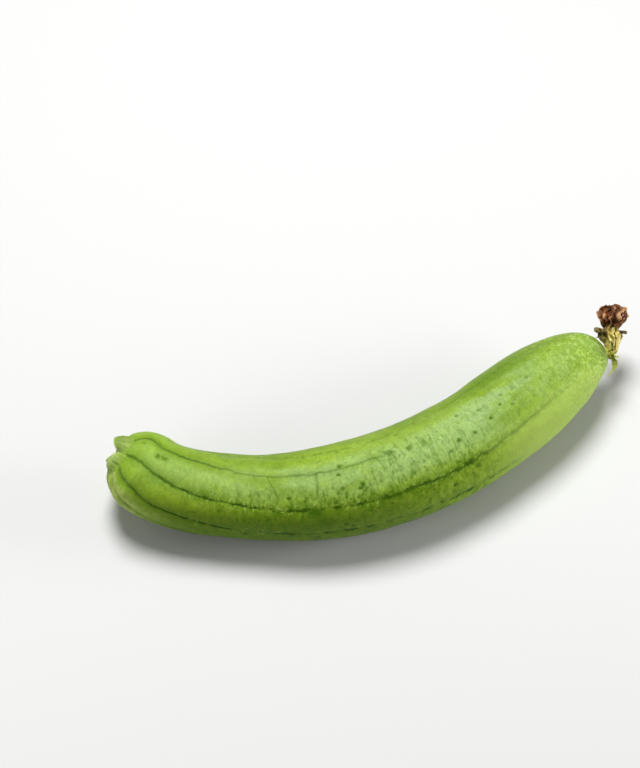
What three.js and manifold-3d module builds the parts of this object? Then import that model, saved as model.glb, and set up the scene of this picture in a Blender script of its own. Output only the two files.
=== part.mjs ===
// A sponge gourd as picked, lying on its side. Millimetres, +Z up, and Z = 0 is the table.
// X runs from the stalk end to the blossom end, and the bend of the fruit bulges towards -Y.
// The fruit is one solid. The stalk stub, the calyx cup, the sepals, the withered petals and
// the style are pieces of their own.
import * as THREE from 'three';
import { mergeVertices } from 'three/addons/utils/BufferGeometryUtils.js';
import Module from 'manifold-3d';

const wasm = await Module();
wasm.setup();

// ---- driving dimensions -------------------------------------------------------------------

// The middle of the fruit from the stalk end, through the hooked neck, to the blossom end.
const CENTRELINE = [
  [-151.3, 16.1, 38.7], [-142.3, 11.3, 32.1], [-126.3, -1.5, 26.2], [-92.5, -16.1, 23.2],
  [-44.5, -27.0, 25.1], [-2.2, -25.8, 26.9], [40.6, -14.1, 26.8], [82.4, 6.1, 27.0],
  [108.2, 20.0, 28.1], [126.6, 27.7, 28.1], [142.8, 30.6, 27.1],
];
const NECK_RADIUS = 23.3;
const BELLY_RADIUS = 27.4;
const NECK_TO_BELLY = [0.20, 0.52];  // fractions of the length where the neck swells
const STALK_CAP = { length: 20.3, power: 0.37 };                 // 0.5 would be round, less is blunter
const BLOSSOM_TAPER = { share: 0.252, curve: 2.49, power: 0.51 };  // share of the length that narrows

// Ten vein lines run the length of the fruit, with a low rib between each two. Each line has an
// angle on the body. At the stalk it is turned by some degrees, and the turn dies out by a
// fraction of the length. Towards the blossom end it is turned again, by an amount called late.
const VEINS = [
  { angle: 20, turn: -36, until: 0.36, late: -8 }, { angle: 62, turn: -36, until: 0.36, late: -6 },
  { angle: 93, turn: -27, until: 0.36, late: 0 }, { angle: 141, turn: -31, until: 0.36, late: -5 },
  { angle: 178, turn: -29, until: 0.31, late: 4 }, { angle: 214, turn: -28, until: 0.26, late: 8 },
  { angle: 246, turn: -32, until: 0.30, late: 4 }, { angle: 276, turn: -32, until: 0.36, late: 0 },
  { angle: 308, turn: -34, until: 0.36, late: 0 }, { angle: 344, turn: -36, until: 0.36, late: -4 },
];
const LATE_TURN = [0.45, 0.85];      // fractions of the length where the late turn begins and is complete
const RIB_AT_STALK = 0.05;           // rib height as a fraction of the radius
const RIB_FADE = 0.09;               // fraction of the length over which the ribs sink
const RIB_ON_BODY = 0.012;
const RIB_LEVEL = 0.4;               // share of the rib height that lies within the plain radius

// The far side of the shoulder is dented, where the cleft across the stub runs out.
const DENT = { place: [-152.0, 22.5, 33.8], reach: 6.0, depth: 3.6 };

const FRUIT_STEPS = 64;
const FRUIT_SIDES = 40;
const ROW_CROWDING = 0.9;            // 0 spaces the rows evenly, 1 crowds them at both ends

// The stalk was cut close to the fruit. It stands askew on the end of the fruit, on a wide foot.
// Its rim is a little off the axis and is broken by notches: two deep, across it, and one shallow.
// Angles are in degrees round the end of the fruit.
const STUB_AXIS = [-0.83, 0.53, 0.17];
const STUB = { foot: 12.4, sunk: 7, rim: 7.6, height: 4.7, lip: 1.2, offset: 0.9, offsetAngle: 33, heart: 0.6 };
const STUB_NOTCHES = [
  { angle: 104, depth: 5.9, before: 18, after: 42 },
  { angle: 238, depth: 2.0, before: 20, after: 25 },
  { angle: 314, depth: 3.6, before: 36, after: 24 },
];
const STUB_SIDES = 40;

// The calyx cup sits on the blossom end, along the fruit's own axis there.
const CUP = { foot: 3.2, waist: 2.8, rim: 4.1, sunk: 3.5, height: 2.0 };
const CUP_SIDES = 20;

// The withered corolla leaves the cup, turns up and back, and ends in a crumpled tuft.
const FLOWER_AXIS = [
  [145.4, 31.2, 26.9], [147.0, 31.8, 27.1], [147.8, 34.0, 28.8], [148.4, 38.9, 32.4],
  [150.4, 45.0, 37.0], [152.9, 52.5, 41.8],
];
const PETAL = { count: 5, halfAngle: 27, thickness: 0.8, neckRadius: 2.5, tuftRadius: 7.6 };
const PETAL_LENGTHS = [0.58, 1.0, 0.95, 0.56, 0.98];   // the short ones hang as a fringe
const TUFT_SPAN = [0.25, 1.3];       // where the claws open into the tuft, and where it would close again
const SEPAL = { angles: [18, 75, 152, 190, 285], length: 10, width: 2.8, thickness: 0.7, tipWidth: 0.6 };
const STYLE = { length: 0.86, radius: 0.9, stigma: 1.9, lobes: 3, lobing: 0.25 };   // length is a share

const GAP = 0.3;                     // clearance between pieces that meet
const UP = new THREE.Vector3(0, 0, 1);
const UP_Y = new THREE.Vector3(0, 1, 0);   // the axis that lathe forms are turned about

// ---- materials ----------------------------------------------------------------------------

function plant(color, roughness) {
  return new THREE.MeshStandardMaterial({ color, roughness, metalness: 0 });
}

const rindMaterial = plant(0x86a843, 0.5);
const stalkMaterial = plant(0xb4c96c, 0.6);
const calyxMaterial = plant(0xc9bd4e, 0.7);
const sepalMaterial = plant(0xb9b84a, 0.75);
const petalMaterial = plant(0x8a5a30, 0.85);
const styleMaterial = plant(0x6a4420, 0.8);

// ---- working curves and frames --------------------------------------------------------------

function curveThrough(points) {
  const curve = new THREE.CatmullRomCurve3(points.map((p) => new THREE.Vector3(...p)));
  curve.arcLengthDivisions = 1000;
  return curve;
}

// A place on a curve with two directions square to it: side is level, and top is upwards.
function frameAt(curve, fraction) {
  const along = curve.getTangentAt(fraction);
  const side = new THREE.Vector3().crossVectors(UP, along).normalize();
  const top = new THREE.Vector3().crossVectors(along, side);
  return { centre: curve.getPointAt(fraction), along, side, top };
}

function around(frame, angle, radius) {
  return frame.centre.clone()
    .addScaledVector(frame.side, radius * Math.cos(angle))
    .addScaledVector(frame.top, radius * Math.sin(angle));
}

// Keeps only the places and joins the doubled points of seams and poles.
function closed(geometry) {
  geometry.deleteAttribute('normal');
  geometry.deleteAttribute('uv');
  return mergeVertices(geometry, 1e-4);
}

// Moves every point of a geometry to where place(x, y, z) says.
function moulded(geometry, place) {
  const points = geometry.attributes.position;
  for (let i = 0; i < points.count; i += 1) {
    const spot = place(points.getX(i), points.getY(i), points.getZ(i));
    points.setXYZ(i, spot.x, spot.y, spot.z);
  }
  return closed(geometry);
}

function solidOf(geometry) {
  return new wasm.Manifold(new wasm.Mesh({
    numProp: 3,
    vertProperties: new Float32Array(geometry.attributes.position.array),
    triVerts: new Uint32Array(geometry.index.array),
  }));
}

function geometryOf(solid) {
  const mesh = solid.getMesh();
  const geometry = new THREE.BufferGeometry();
  geometry.setAttribute('position', new THREE.BufferAttribute(mesh.vertProperties, 3));
  geometry.setIndex(new THREE.BufferAttribute(mesh.triVerts, 1));
  return geometry;
}

function piece(name, geometry, material) {
  const mesh = new THREE.Mesh(geometry, material);
  mesh.name = name;
  return mesh;
}

// ---- fruit ------------------------------------------------------------------------------------

const centreline = curveThrough(CENTRELINE);
const fruitLength = centreline.getLength();
const stalkEnd = frameAt(centreline, 0);

// The round radius at a fraction of the length: neck, belly, round stalk cap and blossom taper.
function fruitRadius(fraction) {
  const swelling = THREE.MathUtils.smoothstep(fraction, ...NECK_TO_BELLY);
  const body = THREE.MathUtils.lerp(NECK_RADIUS, BELLY_RADIUS, swelling);
  const capShort = 1 - Math.min(fraction * fruitLength / STALK_CAP.length, 1);
  const taperShort = 1 - Math.min((1 - fraction) / BLOSSOM_TAPER.share, 1);
  return body * (1 - capShort ** 2) ** STALK_CAP.power
    * (1 - taperShort ** BLOSSOM_TAPER.curve) ** BLOSSOM_TAPER.power;
}

function veinAngle(vein, fraction) {
  return vein.angle + vein.turn * (1 - THREE.MathUtils.smoothstep(fraction, 0, vein.until))
    + vein.late * THREE.MathUtils.smoothstep(fraction, ...LATE_TURN);
}

// 0 on a vein line and 1 on the crown of the rib between two lines.
function ribCrown(angle, fraction) {
  const lines = VEINS.map((vein) => veinAngle(vein, fraction));
  lines.push(lines[0] + 360);
  const turned = THREE.MathUtils.euclideanModulo(THREE.MathUtils.radToDeg(angle) - lines[0], 360) + lines[0];
  const before = Math.min(lines.findLastIndex((line) => line <= turned), VEINS.length - 1);
  return Math.sin(Math.PI * (turned - lines[before]) / (lines[before + 1] - lines[before]));
}

// How deep the dent is at a place: a bell-shaped fall-off from its middle.
function dentDepth(place) {
  const away = place.distanceTo(new THREE.Vector3(...DENT.place)) / DENT.reach;
  return DENT.depth * Math.exp(-(away ** 2));
}

function fruitGeometry(grown) {
  const profile = [];
  for (let i = 0; i <= FRUIT_STEPS; i += 1) {
    const even = i / FRUIT_STEPS;
    const fraction = i < FRUIT_STEPS ? even - ROW_CROWDING * Math.sin(2 * Math.PI * even) / (2 * Math.PI) : 1;
    profile.push(new THREE.Vector2(fruitRadius(fraction), fraction));
  }
  return moulded(new THREE.LatheGeometry(profile, FRUIT_SIDES), (x, y, z) => {
    const angle = Math.atan2(x, z);
    const radius = Math.hypot(x, z);
    const height = RIB_ON_BODY + RIB_AT_STALK * Math.exp(-y / RIB_FADE);
    const ribbed = radius * (1 + height * (ribCrown(angle, y) - RIB_LEVEL));
    const frame = frameAt(centreline, y);
    const spot = around(frame, angle, ribbed + (radius > 0 ? grown : 0));
    if (y === 0) spot.addScaledVector(frame.along, -grown);
    if (y === 1) spot.addScaledVector(frame.along, grown);
    spot.addScaledVector(stalkEnd.along, dentDepth(spot));
    if (grown === 0) spot.z = Math.max(spot.z, 0);  // pressed flat where it lies on the table
    return spot;
  });
}

// ---- stalk stub and calyx cup -----------------------------------------------------------------

const stubAxis = new THREE.Vector3(...STUB_AXIS).normalize();

// How far the notches cut into the stub's rim at an angle: pointed dips, each with its two widths.
function rimDrop(angle) {
  const degrees = THREE.MathUtils.radToDeg(angle);
  return STUB_NOTCHES.reduce((sum, { angle: at, depth, before, after }) => {
    const off = THREE.MathUtils.euclideanModulo(degrees - at + 180, 360) - 180;
    return sum + depth * Math.exp(-((Math.abs(off) / (off < 0 ? before : after)) ** 1.2));
  }, 0);
}

// The height of the fruit's end along the stub's axis, at a distance from that axis.
function groundHeight(level, reach) {
  const facing = stalkEnd.along.clone().negate();
  const lean = facing.dot(stubAxis);
  const flat = -reach * level.dot(facing) / lean;
  const spot = level.clone().multiplyScalar(reach).addScaledVector(stubAxis, flat);
  const radius = Math.min(spot.length(), 0.99 * NECK_RADIUS);
  const fallen = STALK_CAP.length * (1 - Math.sqrt(1 - (radius / NECK_RADIUS) ** (1 / STALK_CAP.power)));
  const dent = dentDepth(stalkEnd.centre.clone().add(spot));
  return flat - (fallen + dent) / lean;
}

// The stub's side, lip and cut face at one angle: distances from its axis, and heights along it.
function stubRings(angle, level) {
  const drop = rimDrop(angle);
  const shift = STUB.offset * Math.cos(angle - THREE.MathUtils.degToRad(STUB.offsetAngle));
  const foot = STUB.foot + shift - 0.3 * drop;
  const rim = STUB.rim + shift - 0.45 * drop;
  const top = STUB.height - drop;
  const ground = groundHeight(level, foot);
  const mix = THREE.MathUtils.lerp;
  return [
    [0, -STUB.sunk], [foot - 2, -STUB.sunk], [foot, ground - 0.5],
    [mix(foot, rim, 0.38), mix(ground, top, 0.5)], [mix(foot, rim, 0.72), mix(ground, top, 0.78)],
    [rim, top - 0.3], [rim - STUB.lip / 2, top], [rim - STUB.lip, top - 0.3],
    [rim - 1.6 * STUB.lip, -1.2 + 0.55 * (top + 0.8)], [0, STUB.heart],
  ];
}

// A turned form about an axis, less the fruit that it grows from.
function turnedFrom(profile, sides, place, fruitGrown) {
  return geometryOf(solidOf(moulded(new THREE.LatheGeometry(profile, sides), place)).subtract(fruitGrown));
}

function stubGeometry(fruitGrown) {
  const rings = stubRings(0, stalkEnd.side).length;
  const profile = Array.from({ length: rings }, (_, k) => new THREE.Vector2(k > 0 && k < rings - 1 ? 1 : 0, k));
  // the stub grows against the centreline's own direction, which mirrors it, so its rings run backwards
  return turnedFrom(profile.reverse(), STUB_SIDES, (x, y, z) => {
    const angle = Math.atan2(x, z);
    const spoke = around(stalkEnd, angle, 1).sub(stalkEnd.centre);
    const level = spoke.addScaledVector(stubAxis, -spoke.dot(stubAxis)).normalize();
    const [reach, height] = stubRings(angle, level)[Math.round(y)];
    return stalkEnd.centre.clone().addScaledVector(level, reach).addScaledVector(stubAxis, height);
  }, fruitGrown);
}

function cupProfile() {
  return [
    new THREE.Vector2(0, -CUP.sunk),
    new THREE.Vector2(CUP.foot, -CUP.sunk),
    new THREE.Vector2(CUP.foot, 0),
    new THREE.Vector2(CUP.waist, CUP.height / 2),
    new THREE.Vector2(CUP.rim, CUP.height),
    new THREE.Vector2(0, CUP.height),
  ];
}

// ---- sepals, petals and style -----------------------------------------------------------------

const tip = frameAt(centreline, 1);
const cupRim = { ...tip, centre: tip.centre.clone().addScaledVector(tip.along, CUP.height) };
const flowerAxis = curveThrough(FLOWER_AXIS);

// A thin blade moulded from a flat box: across runs -1 to 1, along 0 to 1, through -0.5 to 0.5.
function blade(stepsAcross, stepsAlong, place) {
  const flat = new THREE.BoxGeometry(2, 1, 1, stepsAcross, stepsAlong, 1);
  return moulded(flat, (x, y, z) => place(x, y + 0.5, z));
}

// A narrow pointed blade that springs from the cup's rim and bends back towards the fruit.
function sepalGeometry(index) {
  const angle = THREE.MathUtils.degToRad(SEPAL.angles[index]);
  const outward = around(tip, angle, 1).sub(tip.centre);
  const sideways = new THREE.Vector3().crossVectors(outward, tip.along);
  return blade(2, 8, (across, along, through) => {
    const width = THREE.MathUtils.lerp(SEPAL.width, SEPAL.tipWidth, along ** 1.5);
    const reach = SEPAL.length * along;
    return cupRim.centre.clone()
      .addScaledVector(outward, CUP.rim + GAP + reach * (0.95 - 0.15 * along))
      .addScaledVector(tip.along, -1.2 + 0.25 * reach * Math.sin(2.2 * along) + through * SEPAL.thickness)
      .addScaledVector(sideways, across * width / 2);
  });
}

// One petal is a stave of the corolla: a narrow claw, a swollen crumpled tuft and a drawn-in mouth.
function corollaRadius(along) {
  const swell = Math.sin(Math.PI * THREE.MathUtils.smoothstep(along, ...TUFT_SPAN));
  return THREE.MathUtils.lerp(PETAL.neckRadius, PETAL.tuftRadius, swell);
}

function petalGeometry(index) {
  const middle = index * 2 * Math.PI / PETAL.count;
  const halfAngle = THREE.MathUtils.degToRad(PETAL.halfAngle);
  return blade(4, 12, (across, along, through) => {
    const reach = along * PETAL_LENGTHS[index];
    const fold = 0.5 * Math.cos(Math.PI * across) * Math.sin(Math.PI * along);
    const radius = corollaRadius(reach) + fold + through * PETAL.thickness;
    return around(frameAt(flowerAxis, reach), middle + across * halfAngle, radius);
  });
}

function styleGeometry() {
  const steps = 12;
  const profile = [new THREE.Vector2(0, 0)];
  for (let i = 0; i <= steps; i += 1) {
    const along = i / steps;
    const knob = THREE.MathUtils.smoothstep(along, 0.72, 0.9);
    profile.push(new THREE.Vector2(THREE.MathUtils.lerp(STYLE.radius, STYLE.stigma, knob), along));
  }
  profile.push(new THREE.Vector2(0, 1));
  return moulded(new THREE.LatheGeometry(profile, 18), (x, y, z) => {
    const angle = Math.atan2(x, z);
    const radius = Math.hypot(x, z);
    const swell = 1 + STYLE.lobing * Math.cos(STYLE.lobes * angle) * THREE.MathUtils.smoothstep(y, 0.7, 0.9);
    return around(frameAt(flowerAxis, y * STYLE.length), angle, radius * swell);
  });
}

// ---- the gourd ----------------------------------------------------------------------------------

const fruitGrown = solidOf(fruitGeometry(GAP));
const cup = turnedFrom(cupProfile(), CUP_SIDES, (x, y, z) => (
  around({ ...tip, centre: tip.centre.clone().addScaledVector(tip.along, y) }, Math.atan2(x, z), Math.hypot(x, z))
), fruitGrown);

const gourd = new THREE.Group();
gourd.add(piece('fruit', fruitGeometry(0), rindMaterial));
gourd.add(piece('stalk_stub', stubGeometry(fruitGrown), stalkMaterial));
gourd.add(piece('calyx_cup', cup, calyxMaterial));
for (let i = 0; i < SEPAL.angles.length; i += 1) {
  gourd.add(piece(`sepal_${i + 1}`, sepalGeometry(i), sepalMaterial));
}
for (let i = 0; i < PETAL.count; i += 1) {
  gourd.add(piece(`petal_${i + 1}`, petalGeometry(i), petalMaterial));
}
gourd.add(piece('style', styleGeometry(), styleMaterial));

export default gourd;
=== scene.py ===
"""A sponge gourd as picked: a ribbed, bent green fruit with a cut stalk and a withered flower."""
from functools import partial, reduce

import bpy
import numpy as np
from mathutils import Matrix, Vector


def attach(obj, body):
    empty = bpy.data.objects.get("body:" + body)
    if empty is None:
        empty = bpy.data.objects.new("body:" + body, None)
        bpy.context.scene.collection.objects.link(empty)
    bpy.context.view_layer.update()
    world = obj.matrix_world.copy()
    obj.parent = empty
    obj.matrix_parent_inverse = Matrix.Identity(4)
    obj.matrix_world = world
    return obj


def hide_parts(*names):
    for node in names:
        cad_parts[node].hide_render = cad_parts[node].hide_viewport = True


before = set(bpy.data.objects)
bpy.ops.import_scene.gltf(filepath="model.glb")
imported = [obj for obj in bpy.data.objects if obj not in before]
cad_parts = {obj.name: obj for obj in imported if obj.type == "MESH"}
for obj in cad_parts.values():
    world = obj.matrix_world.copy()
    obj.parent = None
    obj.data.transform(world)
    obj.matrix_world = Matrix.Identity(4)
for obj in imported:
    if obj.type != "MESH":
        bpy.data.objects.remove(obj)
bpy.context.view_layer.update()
scene = bpy.context.scene


# ---- Table, light and camera ----
# The gourd lies on a plain pale table. A broad soft lamp hangs high behind it, a second one stands
# low beyond the flower, and a weak one lights the stalk end. The table stays pale far from them.

TABLE_WIDTH = 40.0
TABLE_TINT = (0.62, 0.62, 0.615, 1.0)
FAR_GLOW = {"From Min": 0.45, "From Max": 1.9, "To Max": 0.95}
WHITE = (1.0, 1.0, 1.0, 1.0)
SKY_STRENGTH = 0.18
LAMPS = [
    ("high_lamp", Vector((-0.05, 0.58, 1.50)), 0.70, 32.0),
    ("side_lamp", Vector((1.18, -0.28, 0.32)), 0.50, 10.0),
    ("stalk_lamp", Vector((-0.75, -0.25, 0.35)), 0.40, 1.2),
]
VIEW_AZIMUTH = np.radians(-12.6)
VIEW_ELEVATION = np.radians(55.0)
VIEW_DISTANCE = 1.097
VIEW_TARGET = Vector((-0.0231, 0.0644, 0.0))
LENS = 85.0


def aim(thing, place, target):
    """Puts a lamp or camera at a place, looking at the target."""
    thing.location = place
    thing.rotation_euler = (target - place).to_track_quat("-Z", "Y").to_euler()
    scene.collection.objects.link(thing)


def feed(made, inputs):
    """Sets each input of a shader node to a value, or links it to another node's output."""
    for name, value in inputs.items():
        if isinstance(value, bpy.types.NodeSocket):
            made.id_data.links.new(value, made.inputs[name])
        else:
            made.inputs[name].default_value = value


def node(tree, kind, inputs, output=0, **settings):
    """Adds a shader node with these settings and inputs, and gives back one of its outputs."""
    made = tree.nodes.new("ShaderNode" + kind)
    for name, value in settings.items():
        setattr(made, name, value)
    feed(made, inputs)
    return made.outputs[output]


def own_place(tree):
    """The place of each spot of a piece, in metres."""
    return node(tree, "TexCoord", {}, output="Object")


def new_finish(name):
    """A material and its node tree."""
    finish = bpy.data.materials.new(name)
    finish.use_nodes = True
    return finish, finish.node_tree


table_mesh = bpy.data.meshes.new("table")
half = TABLE_WIDTH / 2
table_corners = [(-half, -half, 0), (half, -half, 0), (half, half, 0), (-half, half, 0)]
table_mesh.from_pydata(table_corners, [], [(0, 1, 2, 3)])
table = bpy.data.objects.new("table", table_mesh)
scene.collection.objects.link(table)
table_finish, table_tree = new_finish("table_paint")
distance = node(table_tree, "VectorMath", {0: own_place(table_tree)}, output="Value", operation="LENGTH")
glow = node(table_tree, "MapRange", {"Value": distance, **FAR_GLOW})
feed(table_tree.nodes["Principled BSDF"], {
    "Base Color": TABLE_TINT, "Roughness": 0.8, "Specular IOR Level": 0.2,
    "Emission Color": WHITE, "Emission Strength": glow,
})
table_mesh.materials.append(table_finish)

sky = bpy.data.worlds.new("sky")
sky.use_nodes = True
feed(sky.node_tree.nodes["Background"], {"Color": WHITE, "Strength": SKY_STRENGTH})
scene.world = sky

for lamp_name, lamp_place, lamp_width, lamp_power in LAMPS:
    lamp = bpy.data.lights.new(lamp_name, "AREA")
    lamp.shape = "DISK"
    lamp.size = lamp_width
    lamp.energy = lamp_power
    aim(bpy.data.objects.new(lamp_name, lamp), lamp_place, Vector((0, 0, 0)))

camera = bpy.data.objects.new("camera", bpy.data.cameras.new("camera"))
camera.data.lens = LENS
level_reach = np.cos(VIEW_ELEVATION)
away = np.sin(VIEW_AZIMUTH) * level_reach, -np.cos(VIEW_AZIMUTH) * level_reach, np.sin(VIEW_ELEVATION)
aim(camera, VIEW_TARGET + Vector(away) * VIEW_DISTANCE, VIEW_TARGET)
scene.camera = camera
scene.view_settings.view_transform = "Standard"


# ---- Fruit ----
# One solid green body with a satin rind. It hangs from a hooked neck, swells to a belly and tapers
# to the blossom end. Ten vein lines run its length with a low rib between each two, and the ribs
# stand high round the stalk. It lies on its side with a narrow strip of the underside pressed flat.

MM = 0.001
FRUIT_PATH = MM * np.array([
    (-151.3, 16.1, 38.7), (-142.3, 11.3, 32.1), (-126.3, -1.5, 26.2), (-92.5, -16.1, 23.2),
    (-44.5, -27.0, 25.1), (-2.2, -25.8, 26.9), (40.6, -14.1, 26.8), (82.4, 6.1, 27.0),
    (108.2, 20.0, 28.1), (126.6, 27.7, 28.1), (142.8, 30.6, 27.1),
])
NECK_RADIUS = 23.3 * MM
BELLY_RADIUS = 27.4 * MM
STALK_CAP = 20.3 * MM
BLOSSOM_TAPER = 0.252
VEIN_ANGLES = np.array([20, 62, 93, 141, 178, 214, 246, 276, 308, 344, 380])
VEIN_TURNS = np.array([-36, -36, -27, -31, -29, -28, -32, -32, -34, -36, -36])
TURN_ENDS = np.array([0.36, 0.36, 0.36, 0.36, 0.31, 0.26, 0.30, 0.36, 0.36, 0.36, 0.36])
LATE_TURNS = np.array([-8, -6, 0, -5, 4, 8, 4, 0, 0, -4, -8])
RIBS = 10
RIB_LEVEL = 0.4
DENT_PLACE = MM * np.array([-152.0, 22.5, 33.8])
DENT_REACH = 6.0 * MM
DENT_DEPTH = 3.6 * MM
FRUIT_ROWS = 470
COLUMNS_PER_RIB = 20
COLUMN_PULL = 0.5
ROW_PULL = 0.85
SPLINE_STEPS = 4001
AVERAGED = 61
WAVES = 28


def unit(directions):
    """The same directions, each one unit long."""
    return directions / np.maximum(np.linalg.norm(directions, axis=-1, keepdims=True), 1e-12)


def spokes(angle, side, top):
    """Directions square to a curve, at angles that turn from its side towards its top."""
    return np.cos(angle)[..., None] * side + np.sin(angle)[..., None] * top


def travel(line):
    """How far it is along a line to each of its places."""
    return np.append(0, np.cumsum(np.linalg.norm(np.diff(line, axis=0), axis=1)))


def drawn_from(at, marks, table):
    """Each column of a table, in proportion between its marks."""
    return np.stack([np.interp(at, marks, column) for column in table.T], -1)


def curve_frame(points, shares):
    """Places, directions, level sides and tops along a curve, at shares of its length.

    The curve is a centripetal Catmull-Rom spline: a cubic from each point to the next, whose end
    slopes weigh the chords on both sides by the square roots of their lengths. Three running
    averages, each over 1.5% of the length, take the last unevenness out of it.
    """
    ends = np.vstack([2 * points[:1] - points[1:2], points, 2 * points[-1:] - points[-2:-1]])
    spans = np.sqrt(np.linalg.norm(np.diff(ends, axis=0), axis=1))
    steps = np.linspace(0, len(points) - 1, SPLINE_STEPS)
    start = np.minimum(steps.astype(int), len(points) - 2)
    w = (steps - start)[:, None]
    p0, p1, p2, p3 = (ends[start + k] for k in range(4))
    d0, d1, d2 = (spans[start + k][:, None] for k in range(3))
    slope_in = ((p1 - p0) / d0 - (p2 - p0) / (d0 + d1) + (p2 - p1) / d1) * d1
    slope_out = ((p2 - p1) / d1 - (p3 - p1) / (d1 + d2) + (p3 - p2) / d2) * d1
    line = p1 + slope_in * w + (3 * (p2 - p1) - 2 * slope_in - slope_out) * w**2
    line += (2 * (p1 - p2) + slope_in + slope_out) * w**3
    travelled = travel(line)
    line = drawn_from(np.linspace(0, travelled[-1], SPLINE_STEPS), travelled, line)
    half = AVERAGED // 2
    for _ in range(3):
        before, after = 2 * line[:1] - line[half:0:-1], 2 * line[-1:] - line[-2:-half - 2:-1]
        total = np.cumsum(np.vstack([np.zeros((1, 3)), before, line, after]), axis=0)
        line = (total[AVERAGED:] - total[:-AVERAGED]) / AVERAGED
    travelled = travel(line)
    at = np.asarray(shares) * travelled[-1]
    centre = drawn_from(at, travelled, line)
    along = unit(drawn_from(at, travelled, np.gradient(line, axis=0)))
    side = unit(np.cross((0, 0, 1), along))
    return centre, along, side, np.cross(along, side), travelled[-1]


def ease(low, high, value):
    """0 below low, 1 above high, and the smooth cubic 3t^2 - 2t^3 between them."""
    t = np.clip((value - low) / (high - low), 0, 1)
    return t * t * (3 - 2 * t)


def ripple(points, *layers):
    """A seeded bumpy field, in layers that each have a height, a wavelength and a seed.

    A layer is the sum of plane waves in random directions, about as high as its height.
    """
    field = 0.0
    for height, wavelength, seed in layers:
        draw = np.random.default_rng(seed)
        heading = unit(draw.normal(size=(WAVES, 3)))
        heading *= 2 * np.pi / wavelength * draw.uniform(0.7, 1.4, (WAVES, 1))
        phase = draw.uniform(0, 2 * np.pi, WAVES)
        field = field + height * (np.sin(points @ heading.T + phase).sum(-1) / np.sqrt(WAVES))
    return field


def cells(grid):
    """The four corners of each cell of a grid, in order round it."""
    return np.stack([grid[:-1, :-1], grid[:-1, 1:], grid[1:, 1:], grid[1:, :-1]], 2)


def fan(tips, row):
    """Triangles from each tip to an entry of a row and the next."""
    return np.stack([tips, row[:-1], row[1:]], 1)


def lay_mesh(name, places, chart, ends=None):
    """A closed mesh from a grid of places (rows, columns, 3), its last column joined to the first.

    With ends, a fan of triangles closes each end row on one of the two given places. Without them
    each end row is zipped shut, its first half to its second. The chart holds a UV pair for each
    grid place, and has one more column than the grid.
    """
    rows, columns = places.shape[:2]
    index = np.arange(rows * columns).reshape(rows, columns)
    index = np.hstack([index, index[:, :1]])
    corners, pairs, points = cells(index).ravel(), cells(chart).reshape(-1, 2), places.reshape(-1, 3)
    if ends is None:
        near = np.arange(columns // 2 - 1)
        zips = np.stack([near, columns - 1 - near, columns - 2 - near, near + 1], -1)
        corners = np.concatenate([corners, index[0][zips], index[-1][zips[:, ::-1]]], axis=None)
        pairs = np.vstack([pairs, chart[0][zips].reshape(-1, 2), chart[-1][zips[:, ::-1]].reshape(-1, 2)])
    starts = np.arange(0, len(corners), 4)
    if ends is not None:
        tips = np.full(columns, len(points))
        middles = (chart[:, :-1] + chart[:, 1:]) / 2
        starts = np.append(starts, len(corners) + 3 * np.arange(2 * columns))
        corners = np.concatenate([corners, fan(tips, index[0])[:, ::-1], fan(tips + 1, index[-1])], axis=None)
        fan_pairs = np.vstack([fan(middles[0], chart[0])[:, ::-1], fan(middles[-1], chart[-1])])
        pairs, points = np.vstack([pairs, fan_pairs.reshape(-1, 2)]), np.vstack([points, ends])
    mesh = bpy.data.meshes.new(name)
    mesh.vertices.add(len(points))
    mesh.loops.add(len(corners))
    mesh.polygons.add(len(starts))
    mesh.vertices.foreach_set("co", points.astype(np.float32).ravel())
    mesh.loops.foreach_set("vertex_index", corners.astype(np.int32))
    mesh.polygons.foreach_set("loop_start", starts.astype(np.int32))
    mesh.update(calc_edges=True)
    mesh.shade_smooth()
    mesh.uv_layers.new(name="chart").uv.foreach_set("vector", pairs.astype(np.float32).ravel())
    return mesh


def finished_piece(name, mesh, finish, nodes):
    """Puts a mesh in the scene with its finish, riding on the gourd in place of its CAD nodes."""
    mesh.materials.append(finish)
    made = bpy.data.objects.new(name, mesh)
    scene.collection.objects.link(made)
    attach(made, "root")
    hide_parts(*nodes)


def fruit_radius(share, length):
    """Radius of the fruit without its ribs, at a share of its length.

    It swells by a smooth step from the neck to the belly. Both ends close as powers of one minus
    a power of the distance left: bluntly at the stalk, and as a round nose at the blossom.
    """
    body = NECK_RADIUS + (BELLY_RADIUS - NECK_RADIUS) * ease(0.20, 0.52, share)
    cap = 1 - np.minimum(share * length / STALK_CAP, 1)
    taper = 1 - np.minimum((1 - share) / BLOSSOM_TAPER, 1)
    return body * (1 - cap**2) ** 0.37 * (1 - taper**2.49) ** 0.51


def vein_angle(rib, share):
    """Angle round the fruit of a rib coordinate, where whole numbers are the vein lines.

    Each line has its own angle on the body, is turned at the stalk by a turn that fades away along
    it, and is turned again near the blossom. Between the lines the angle is in proportion. They
    lean to and fro across the hook of the neck, and wander a little by two sines.
    """
    first = np.minimum(rib.astype(int), RIBS - 1)
    lines = VEIN_ANGLES + VEIN_TURNS * (1 - ease(0, TURN_ENDS, share[:, :1]))
    lines = lines + LATE_TURNS * ease(0.45, 0.85, share[:, :1])
    before = np.take_along_axis(lines, first, 1)
    after = np.take_along_axis(lines, first + 1, 1)
    turned = before + (after - before) * (rib - first)
    hook = np.exp(-(((share - 0.016) / 0.014) ** 2)) - np.exp(-(((share - 0.062) / 0.024) ** 2))
    turned -= 8 * np.cos(np.radians(turned)) * hook
    round_trip = 2 * np.pi * rib / RIBS
    turned += 1.5 * np.sin(2 * np.pi * 2.3 * share + 3 * round_trip)
    turned += 0.8 * np.sin(2 * np.pi * 7.1 * share + 7 * round_trip)
    return np.radians(turned)


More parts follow.
